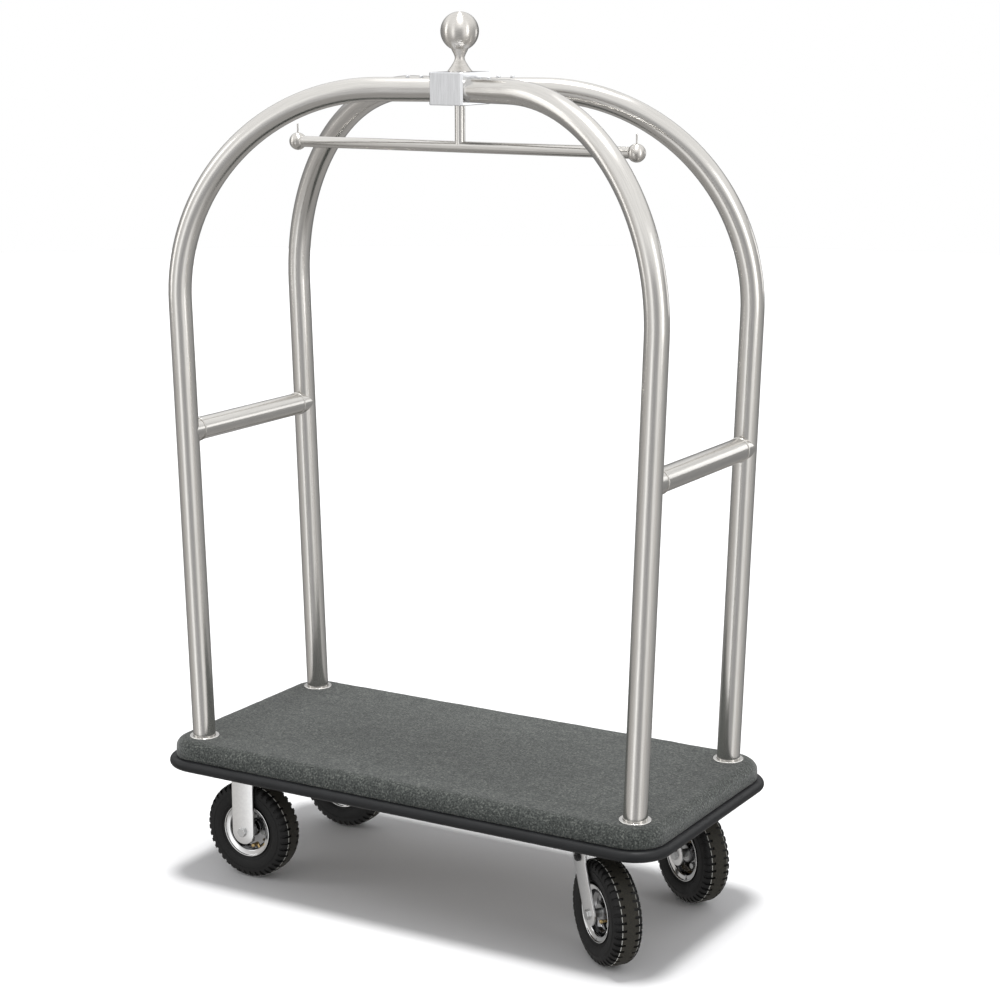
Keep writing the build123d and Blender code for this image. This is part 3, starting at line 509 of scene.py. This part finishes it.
def caster_plate(bm, centre, top):
    """Stamped plate with round corners, its top at height top."""
    made = bmesh.ops.create_grid(bm, x_segments=1, y_segments=1, size=1, matrix=Matrix.Translation((0, 0, top)))
    bmesh.ops.scale(bm, vec=(plate_half_x, plate_half_y, 1), verts=made["verts"])
    rounded = bmesh.ops.bevel(bm, geom=made["verts"], offset=plate_corner, segments=6, profile=0.5,
                              affect="VERTICES", material=-1)
    faces = list({f for vert in rounded["verts"] for f in vert.link_faces})
    walls = bmesh.ops.extrude_face_region(bm, geom=faces)["geom"]
    lower = [piece for piece in walls if isinstance(piece, bmesh.types.BMVert)]
    bmesh.ops.translate(bm, vec=(0, 0, -plate_thickness), verts=lower)
    plate = list({vert for vert in rounded["verts"]} | set(lower))
    bmesh.ops.translate(bm, vec=centre, verts=plate)


plate_half_x, plate_half_y, plate_corner, plate_thickness = 0.055, 0.052, 0.010, 0.005
strap_thickness = 0.005
strap_bend = 0.009
rigid_width = 0.057
plate_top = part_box("deck_frame")[0].z

zinc_strap, tree, principled = shader("zinc_strap", (0.68, 0.68, 0.68), 1, 0.34)
place = node(tree, "TexCoord").outputs["Object"]
spangle = grain(tree, place, 0.005, 4)
rolled = grain(tree, stretched(tree, place, (1, 1, 0.05)), 0.0009, 3)
coloured(tree, principled, ramp(tree, spangle, (0.35, 0.0), (0.68, 1.0)), (0.77, 0.77, 0.77), (0.83, 0.83, 0.825))
roughened(tree, principled, rolled, 0.30, 0.42)
bumped(tree, principled, rolled, 0.00004, 0.5)

for end, sy in (("front", -1), ("back", 1)):
    low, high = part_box(f"rigid_fork_{end}")
    centre = Vector(((low.x + high.x) / 2, (low.y + high.y) / 2, 0))
    wheel_low, wheel_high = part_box(f"tyre_{end}_left")
    axle_z = (wheel_low.z + wheel_high.z) / 2
    leg_out = 0.042
    crown_z = plate_top - plate_thickness
    bm = bmesh.new()
    start = [bm.verts.new((x, -leg_out, axle_z - rigid_width / 2)) for x in (-rigid_width / 2, rigid_width / 2)]
    edges = drawn_out(bm, [bm.edges.new(start)], (0, 0, crown_z - strap_bend - axle_z + rigid_width / 2))
    feet = list(start)
    for cent, move in (((0, -leg_out + strap_bend, crown_z - strap_bend), (0, 2 * (leg_out - strap_bend), 0)),
                       ((0, leg_out - strap_bend, crown_z - strap_bend), None)):
        turned_edges = bmesh.ops.spin(bm, geom=edges, cent=cent, axis=(-1, 0, 0), dvec=(0, 0, 0), angle=pi / 2,
                                      steps=6, use_merge=False, use_duplicate=False)["geom_last"]
        edges = [piece for piece in turned_edges if isinstance(piece, bmesh.types.BMEdge)]
        if move:
            edges = drawn_out(bm, edges, move)
    edges = drawn_out(bm, edges, (0, 0, -(crown_z - strap_bend - axle_z + rigid_width / 2)))
    feet += list({vert for edge in edges for vert in edge.verts})
    bmesh.ops.bevel(bm, geom=feet, offset=rigid_width / 2 - 0.0003, segments=12, profile=0.5, affect="VERTICES",
                    material=-1, clamp_overlap=False)
    bmesh.ops.recalc_face_normals(bm, faces=bm.faces)
    if max(bm.faces, key=lambda face: face.calc_center_median().z).normal.z < 0:
        bmesh.ops.reverse_faces(bm, faces=bm.faces)
    bmesh.ops.solidify(bm, geom=bm.faces[:], thickness=strap_thickness)
    bmesh.ops.translate(bm, vec=centre, verts=bm.verts)
    caster_plate(bm, centre, plate_top)
    bmesh.ops.recalc_face_normals(bm, faces=bm.faces)
    softened(bm)
    link_piece(f"fixed_fork_{end}", bm, zinc_strap, "frame", "zinc_plate", f"rigid_fork_{end}")

# ---------------------------------------------------------------- swivel casters
# The fork's strap narrows as it slants back to the axle. It turns on a race of balls
# under the plate, and dark nuts hold it to the crown.
dress(zinc_bright, "swivel_plate_front", "swivel_plate_back")
swivel_top_width, swivel_end_width, swivel_trail = 0.056, 0.048, 0.050
for end, sy in (("front", -1), ("back", 1)):
    joint = [each for each in frame["joints"] if each["name"] == f"swivel_{end}_turn"][0]
    wheel_joint = [each for each in frame["joints"] if each["name"] == f"wheel_{end}_right_spin"][0]
    pivot, hub = Vector(joint["pos_m"]), Vector(wheel_joint["pos_m"])
    crown_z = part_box(f"swivel_fork_{end}")[1].z
    trail = (hub - pivot).xy
    turn = Matrix.Translation((pivot.x, pivot.y, 0)) @ Matrix.Rotation(atan2(trail.y, trail.x), 4, "Z")
    shoulder_z = crown_z - 0.030
    leg_way = Vector((swivel_trail, 0, hub.z - shoulder_z)).normalized()
    across_leg = Vector((-leg_way.z, 0, leg_way.x))
    tip = Vector((swivel_trail, 0, hub.z)) + leg_way * swivel_end_width / 2
    bm = bmesh.new()
    feet = []
    sheet = []
    for side in (-1, 1):
        rows = [[tip + across_leg * w * swivel_end_width / 2 for w in (-1, 1)],
                [Vector((w * swivel_top_width / 2, 0, shoulder_z)) for w in (-1, 1)],
                [Vector((w * swivel_top_width / 2, 0, crown_z - strap_bend)) for w in (-1, 1)]]
        if across_leg.x < 0:
            rows[0].reverse()
        verts = [[bm.verts.new(point + Vector((0, side * leg_out, 0))) for point in row] for row in rows]
        for lower, upper in zip(verts, verts[1:]):
            bm.faces.new((lower[0], lower[1], upper[1], upper[0]))
        feet += verts[0]
        top_edge = [edge for edge in bm.edges if set(edge.verts) == set(verts[-1])]
        last = bmesh.ops.spin(bm, geom=top_edge, cent=(0, side * (leg_out - strap_bend), crown_z - strap_bend),
                              axis=(side, 0, 0), dvec=(0, 0, 0), angle=pi / 2, steps=6, use_merge=False,
                              use_duplicate=False)["geom_last"]
        sheet += [piece for piece in last if isinstance(piece, bmesh.types.BMEdge)]
    bmesh.ops.bridge_loops(bm, edges=sheet)
    bmesh.ops.bevel(bm, geom=feet, offset=swivel_end_width / 2 - 0.0003, segments=12, profile=0.5,
                    affect="VERTICES", material=-1, clamp_overlap=False)
    bmesh.ops.recalc_face_normals(bm, faces=bm.faces)
    if max(bm.faces, key=lambda face: face.calc_center_median().z).normal.z < 0:
        bmesh.ops.reverse_faces(bm, faces=bm.faces)
    bmesh.ops.solidify(bm, geom=bm.faces[:], thickness=strap_thickness)
    bmesh.ops.recalc_face_normals(bm, faces=bm.faces)
    softened(bm)
    bmesh.ops.transform(bm, matrix=turn, verts=bm.verts)
    link_piece(f"turning_fork_{end}", bm, zinc_strap, f"swivel_{end}", "zinc_plate", f"swivel_fork_{end}")

black_oxide, tree, principled = shader("black_oxide", (0.02, 0.02, 0.022), 0.6, 0.45)
place = node(tree, "TexCoord").outputs["Object"]
rubbed = grain(tree, place, 0.005, 4)
coloured(tree, principled, rubbed, (0.010, 0.010, 0.012), (0.05, 0.05, 0.05))
roughened(tree, principled, rubbed, 0.3, 0.6)
dress(black_oxide, "crown_bolts_front", "crown_bolts_back")


# ---------------------------------------------------------------- tyres
# Pneumatic tyres with a block tread: one middle rib all the way round, and notches cut
# into it from both shoulders, half a pitch apart.
def wheel_matrix(corner):
    """Places a wheel made round the Y axis, its valve towards +X, where the cart holds it."""
    joint = [each for each in frame["joints"] if each["name"] == f"wheel_{corner}_spin"][0]
    centre, axis = Vector(joint["pos_m"]), Vector(joint["axis"]).normalized()
    low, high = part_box(f"valve_stem_{corner}")
    to_valve = (low + high) / 2 - centre
    to_valve = (to_valve - axis * to_valve.dot(axis)).normalized()
    return Matrix.Translation(centre) @ Matrix((to_valve, axis, to_valve.cross(axis))).transposed().to_4x4()


wheels = {corner: wheel_matrix(corner) for corner in ("front_left", "front_right", "back_right", "back_left")}

lugs = 42
steps_per_lug = 6
# radius, half width and groove depth from the middle of the tread to the bead
tyre_half = [(0.1119, 0.0000, 0.0048), (0.1119, 0.0050, 0.0048), (0.1117, 0.0095, 0.0048), (0.1115, 0.0140, 0.0048),
             (0.1112, 0.0182, 0.0048), (0.1102, 0.0196, 0.0046), (0.1088, 0.0240, 0.0044), (0.1060, 0.0278, 0.0036),
             (0.1010, 0.0302, 0.0022), (0.0975, 0.0312, 0.0010), (0.0968, 0.0313, 0.0), (0.0915, 0.0322, 0.0),
             (0.0905, 0.0324, 0.0), (0.0902, 0.0330, 0.0), (0.0885, 0.0333, 0.0), (0.0882, 0.0327, 0.0),
             (0.0840, 0.0328, 0.0), (0.0790, 0.0322, 0.0), (0.0740, 0.0309, 0.0), (0.0705, 0.0293, 0.0),
             (0.0700, 0.0298, 0.0), (0.0686, 0.0292, 0.0), (0.0684, 0.0284, 0.0), (0.0655, 0.0266, 0.0),
             (0.0632, 0.0246, 0.0), (0.0590, 0.0230, 0.0), (0.0510, 0.0205, 0.0)]
tread_spans = 9                                # spans from the middle that carry lugs
notch_steps = [0, 0, 2, 2, 2, 3, 3, 2]                  # width of a notch in each span, in steps; the rib has none


def lug_lift(index):
    """Radial and sideways lift from the groove's floor to the lug's top, at a point of the profile."""
    before, after = tyre_half[max(index - 1, 0)], tyre_half[index + 1]
    slope = Vector((after[1] - before[1], -(after[0] - before[0])))
    if index == 0:
        slope = Vector((1, 0))
    return slope.normalized() * tyre_half[index][2]


def tyre_mesh():
    """One tyre round the Y axis, with where each point lies on it: radius and width."""
    bm = bmesh.new()
    lift = bm.verts.layers.float_vector.new("lift")
    span = bm.faces.layers.int.new("span")
    chain = []
    count = len(tyre_half)
    for index in list(range(count - 1, -1, -1)) + list(range(1, count)):
        side = -1 if len(chain) < count - 1 else 1
        rise, out = lug_lift(index) if index < tread_spans + 1 else (0, 0)
        radius, width = tyre_half[index][:2]
        vert = bm.verts.new((radius - rise, side * (width - out), 0))
        vert[lift] = (rise, side * out, 0)
        chain.append(vert)
    chain_edges = [bm.edges.new(pair) for pair in zip(chain, chain[1:])]
    chain_edges.append(bm.edges.new((chain[-1], chain[0])))
    bmesh.ops.spin(bm, geom=chain_edges, cent=(0, 0, 0), axis=(0, 1, 0), dvec=(0, 0, 0), angle=2 * pi,
                   steps=lugs * steps_per_lug, use_merge=True, use_duplicate=False)
    bmesh.ops.recalc_face_normals(bm, faces=bm.faces)
    widths = [point[1] for point in tyre_half[:tread_spans + 1]]
    raised = []
    for face in bm.faces:
        middle = face.calc_center_median()
        radius = sqrt(middle.x ** 2 + middle.z ** 2)
        if radius < 0.094:
            continue
        place_in_row = sum(abs(middle.y) > width - 0.0005 for width in widths) - 1
        turn = atan2(middle.z, middle.x) / (2 * pi) * lugs + (0.5 if middle.y < 0 else 0)
        step = int((turn % 1) * steps_per_lug)
        notch = step < notch_steps[min(place_in_row, len(notch_steps) - 1)]
        if not notch:
            raised.append(face)
    top = [piece for piece in bmesh.ops.extrude_face_region(bm, geom=raised)["geom"]
           if isinstance(piece, bmesh.types.BMVert)]
    for vert in top:
        rise, out = vert[lift].x, vert[lift].y
        vert.co += Vector((vert.co.x, 0, vert.co.z)).normalized() * rise + Vector((0, out, 0))
    bmesh.ops.delete(bm, geom=raised, context="FACES")
    tyre_place = bm.verts.layers.float_vector.new("tyre_place")
    for vert in bm.verts:
        radius = sqrt(vert.co.x ** 2 + vert.co.z ** 2)
        vert[tyre_place] = (radius, vert.co.y, 0)
    return bm


tyre_rubber, tree, principled = shader("tyre_rubber", (0.02, 0.02, 0.02), 0, 0.55, Specular_IOR_Level=0.28)
place = node(tree, "TexCoord").outputs["Object"]
on_tyre = node(tree, "SeparateXYZ", node(tree, "Attribute", attribute_name="tyre_place").outputs["Vector"])
dusty = grain(tree, place, 0.018, 5)
speckle = grain(tree, place, 0.0022, 4)
tread = node(tree, "MapRange", on_tyre.outputs["X"], 0.1094, 0.1108, 0.0, 1.0).outputs[0]
worn = node(tree, "Math", tread, ramp(tree, speckle, (0.35, 0.35), (0.65, 1.0)), operation="MULTIPLY").outputs[0]
black = node(tree, "Mix", dusty, data_type="RGBA", A=(0.003, 0.003, 0.0032, 1), B=(0.009, 0.009, 0.009, 1))
brown = node(tree, "Mix", worn, data_type="RGBA", A=black.outputs[2], B=(0.034, 0.031, 0.023, 1))
# The lighter grey line on the bevel of each lug's shoulder, outside the middle rib, is a painted glint: colour
# standing in for the shoulder's reflection.
shoulder = ramp(tree, node(tree, "MapRange", on_tyre.outputs["X"], 0.1070, 0.1120, 0.0, 1.0).outputs[0],
                (0.0, 0.0), (0.62, 0.0), (0.66, 1.0), (0.81, 1.0), (0.84, 0.0), (1.0, 0.0))
side_way = node(tree, "Math", on_tyre.outputs["Y"], operation="ABSOLUTE").outputs[0]
past_rib = node(tree, "Math", side_way, 0.0181, operation="GREATER_THAN").outputs[0]
glint_line = node(tree, "Math", shoulder, past_rib, operation="MULTIPLY").outputs[0]
painted_glint = node(tree, "Mix", glint_line, data_type="RGBA", A=brown.outputs[2], B=(0.36, 0.36, 0.34, 1))
tree.links.new(painted_glint.outputs[2], principled.inputs["Base Color"])
roughened(tree, principled, node(tree, "Math", dusty, worn, operation="ADD").outputs[0], 0.38, 0.75)
moulding = node(tree, "Math", node(tree, "Math", on_tyre.outputs["X"], 3600.0, operation="MULTIPLY").outputs[0],
                operation="SINE").outputs[0]
flanks = node(tree, "Math", node(tree, "Math", 1.0, tread, operation="SUBTRACT").outputs[0], moulding,
              operation="MULTIPLY").outputs[0]
moulded = node(tree, "Math", flanks, 0.35, operation="MULTIPLY").outputs[0]
bumped(tree, principled, node(tree, "Math", speckle, moulded, operation="ADD").outputs[0], 0.0003, 0.6)
for corner, matrix in wheels.items():
    bm = tyre_mesh()
    bmesh.ops.transform(bm, matrix=matrix, verts=bm.verts)
    link_piece(f"treaded_tyre_{corner}", bm, tyre_rubber, f"wheel_{corner}", "tyre", f"tyre_{corner}", smooth=32)


# ---------------------------------------------------------------- rims
# Two pressed steel halves, chromed, bolted together through their webs. The tyre
# seats behind the flange, and a bearing is pressed into each cup.
def turned(outline, rounding, steps=96, segments=3):
    """Turns a closed outline of (radius, place along Y) points round the Y axis, its corners rounded."""
    bm = bmesh.new()
    face = bm.faces.new([bm.verts.new((radius, along, 0)) for radius, along in outline])
    bmesh.ops.bevel(bm, geom=face.verts[:], offset=rounding, segments=segments, profile=0.5, affect="VERTICES",
                    material=-1, clamp_overlap=True)
    bmesh.ops.delete(bm, geom=bm.faces[:], context="FACES_ONLY")
    axle_edges = [edge for edge in bm.edges if all(abs(vert.co.x) < 1e-6 for vert in edge.verts)]
    bmesh.ops.delete(bm, geom=axle_edges, context="EDGES")
    bmesh.ops.spin(bm, geom=bm.edges[:], cent=(0, 0, 0), axis=(0, 1, 0), dvec=(0, 0, 0), angle=2 * pi,
                   steps=steps, use_merge=True, use_duplicate=False)
    bmesh.ops.remove_doubles(bm, verts=bm.verts, dist=1e-6)
    bmesh.ops.recalc_face_normals(bm, faces=bm.faces)
    return bm


rim_outline = [(0.0176, 0.0165), (0.0202, 0.0165), (0.0202, 0.0030), (0.0425, 0.0026), (0.0482, 0.0098),
               (0.0482, 0.0214), (0.0500, 0.0232), (0.0588, 0.0254), (0.0598, 0.0287), (0.0619, 0.0284),
               (0.0611, 0.0238), (0.0508, 0.0206), (0.0508, 0.0086), (0.0436, 0.0002), (0.0176, 0.0002)]
rim_chrome, tree, principled = shader("rim_chrome", (0.6, 0.6, 0.6), 1, 0.07)
place = node(tree, "TexCoord").outputs["Object"]
haze = grain(tree, place, 0.012, 5)
reach = node(tree, "Attribute", attribute_name="rim_reach").outputs["Fac"]
# The dish inside the flange is coloured far darker than the flange, with haze across it.
flange = node(tree, "MapRange", reach, 0.0485, 0.0515, 0.0, 1.0).outputs[0]
dark_dish = node(tree, "Mix", haze, data_type="RGBA", A=(0.22, 0.22, 0.23, 1), B=(0.34, 0.34, 0.34, 1))
bright = node(tree, "Mix", flange, data_type="RGBA", A=dark_dish.outputs[2], B=(0.70, 0.70, 0.70, 1))
tree.links.new(bright.outputs[2], principled.inputs["Base Color"])
roughened(tree, principled, haze, 0.03, 0.14)
bumped(tree, principled, grain(tree, place, 0.014, 2), 0.00012, 0.5)
for corner, matrix in wheels.items():
    for side, node_name in ((1, "rim_plain_side"), (-1, "rim_valve_side")):
        bm = turned(rim_outline, 0.0008)
        rim_reach = bm.verts.layers.float.new("rim_reach")
        for vert in bm.verts:
            vert[rim_reach] = sqrt(vert.co.x ** 2 + vert.co.z ** 2)
        bmesh.ops.scale(bm, vec=(1, side, 1), verts=bm.verts)
        bmesh.ops.transform(bm, matrix=matrix, verts=bm.verts)
        bmesh.ops.recalc_face_normals(bm, faces=bm.faces)
        link_piece(f"pressed_{node_name}_{corner}", bm, rim_chrome, f"wheel_{corner}", "rim_chrome",
                   f"{node_name}_{corner}")
    dress(zinc_bright, f"rim_bolts_{corner}")
    dress(zinc_bright, f"wheel_bearings_{corner}")

# ---------------------------------------------------------------- valve stems
# Threaded brass stem with a knurled cap, out through the side of each rim.
brass_bright, tree, principled = shader("brass_bright", (0.60, 0.43, 0.20), 1, 0.3)
place = node(tree, "TexCoord").outputs["Object"]
tarnish = grain(tree, place, 0.004, 5)
coloured(tree, principled, tarnish, (0.36, 0.25, 0.11), (0.62, 0.47, 0.24))
roughened(tree, principled, tarnish, 0.18, 0.4)
stem_radius, cap_radius, stem_bend, stem_side = 0.0034, 0.0044, 0.037, -0.0155
stem_end, cap_long, thread_pitch = -0.0270, 0.0079, 0.0010
threads = [(stem_radius - (0.0002 if i % 2 else 0.0), -0.0175 - i * thread_pitch / 2) for i in range(25)]
threads = [point for point in threads if point[1] > stem_end + 0.0006]
knurls = 20
knurl_depth = 0.05                             # part of the cap's radius
foot_outline = [(0.0, 0.0), (0.0039, 0.0), (0.0039, 0.0022), (stem_radius, 0.0030), (stem_radius, 0.0130),
                (0.0, 0.0130)]
stem_outline = [(0.0, stem_side + 0.001), (stem_radius, stem_side), *threads, (stem_radius, stem_end),
                (0.0, stem_end)]
cap_outline = [(0.0, stem_end - 0.0002), (0.0037, stem_end - 0.0002), (cap_radius, stem_end - 0.0010),
               (cap_radius, stem_end - 0.0060), (0.0034, stem_end - cap_long + 0.0004),
               (0.0028, stem_end - cap_long), (0.0, stem_end - cap_long)]
foot_place = Matrix.Translation((0.0502, stem_side, 0)) @ Matrix.Rotation(pi / 2, 4, "Z")
face_place = Matrix.Translation((stem_bend, 0, 0))
for corner, matrix in wheels.items():
    bm = bmesh.new()
    for outline, place in ((foot_outline, foot_place), (stem_outline, face_place), (cap_outline, face_place)):
        piece = turned(outline, 0.00012, steps=2 * knurls, segments=1)
        for vert in piece.verts if outline is cap_outline else ():
            if sqrt(vert.co.x ** 2 + vert.co.z ** 2) > cap_radius - 0.0001:
                turn = round(atan2(vert.co.z, vert.co.x) / (2 * pi) * 2 * knurls)
                squeeze = 1 - (knurl_depth if turn % 2 else 0)
                vert.co.x, vert.co.z = vert.co.x * squeeze, vert.co.z * squeeze
        bmesh.ops.transform(piece, matrix=place, verts=piece.verts)
        part = bpy.data.meshes.new("stem_part")
        piece.to_mesh(part)
        piece.free()
        bm.from_mesh(part)
        bpy.data.meshes.remove(part)
    elbow = bmesh.ops.create_uvsphere(bm, u_segments=20, v_segments=12, radius=stem_radius)
    bmesh.ops.translate(bm, vec=(stem_bend, stem_side, 0), verts=elbow["verts"])
    bmesh.ops.transform(bm, matrix=matrix, verts=bm.verts)
    bmesh.ops.recalc_face_normals(bm, faces=bm.faces)
    link_piece(f"threaded_stem_{corner}", bm, brass_bright, f"wheel_{corner}", "brass", f"valve_stem_{corner}")
